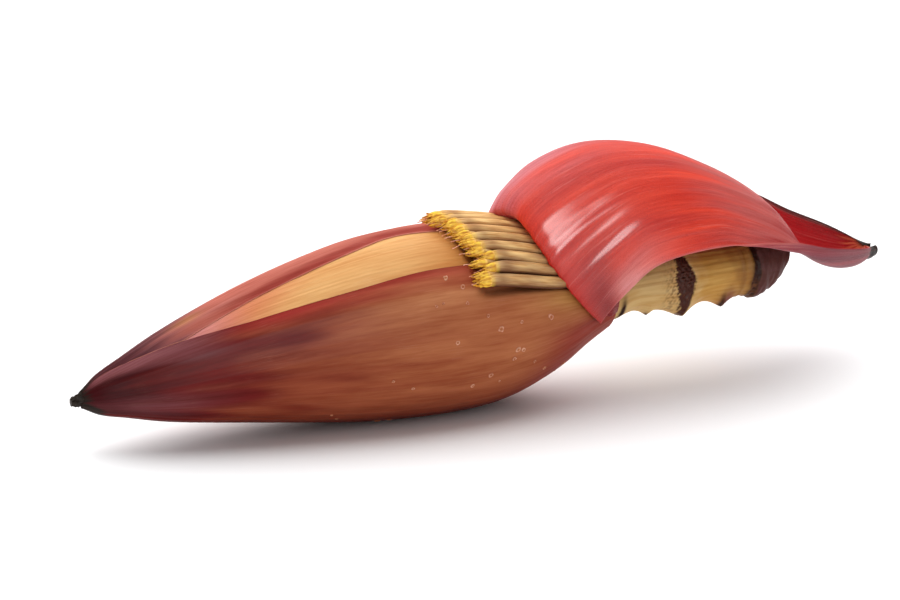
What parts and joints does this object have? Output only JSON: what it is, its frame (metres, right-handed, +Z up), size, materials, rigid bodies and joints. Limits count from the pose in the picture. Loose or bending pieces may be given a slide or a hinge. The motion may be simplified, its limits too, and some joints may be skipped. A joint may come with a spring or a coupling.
{
  "type": "banana blossom",
  "caption": "Banana blossom lying on its side: a closed pointed bud of wrapped bracts, a laid-open hand of slim florets, one bract turned back over the cut stalk.",
  "frame": {"origin": "middle of the footprint, on the surface the blossom lies on", "axes": "+X along the blossom from the bud's tip to the stalk, +Y to the side of the far bract, +Z up"},
  "size_m": [0.357, 0.0764, 0.1022],
  "materials": {
    "inner_bract": "satin yellow-orange plant skin, salmon pink towards its tip",
    "near_bract": "satin brownish red, ochre at its widest, maroon towards the tip",
    "far_bract": "satin pinkish red with a thin bloom",
    "stalk": "matt pale yellow-tan with dark brown scars",
    "lifted_bract": "glossy bright red inner face, duller purplish pink outer face",
    "floret": "matt cream-tan with golden yellow tips",
    "under_floret": "matt tan with golden yellow tips"
  },
  "bodies": {
    "root": {"bud_heart": "inner_bract", "near_bract": "near_bract", "far_bract": "far_bract", "stalk": "stalk", "lifted_bract": "lifted_bract", "floret_01": "floret", "floret_02": "floret", "floret_03": "floret", "floret_04": "floret", "floret_05": "floret", "floret_06": "floret", "floret_07": "floret", "floret_08": "floret", "floret_09": "floret", "floret_10": "floret", "floret_11": "floret", "floret_12": "floret", "floret_13": "floret", "floret_14": "floret", "floret_15": "floret", "floret_16": "floret", "under_floret_01": "under_floret", "under_floret_02": "under_floret", "under_floret_03": "under_floret", "under_floret_04": "under_floret", "under_floret_05": "under_floret", "under_floret_06": "under_floret", "under_floret_07": "under_floret", "under_floret_08": "under_floret", "under_floret_09": "under_floret", "under_floret_10": "under_floret", "under_floret_11": "under_floret", "under_floret_12": "under_floret", "under_floret_13": "under_floret", "under_floret_14": "under_floret", "under_floret_15": "under_floret"}
  },
  "joints": []
}
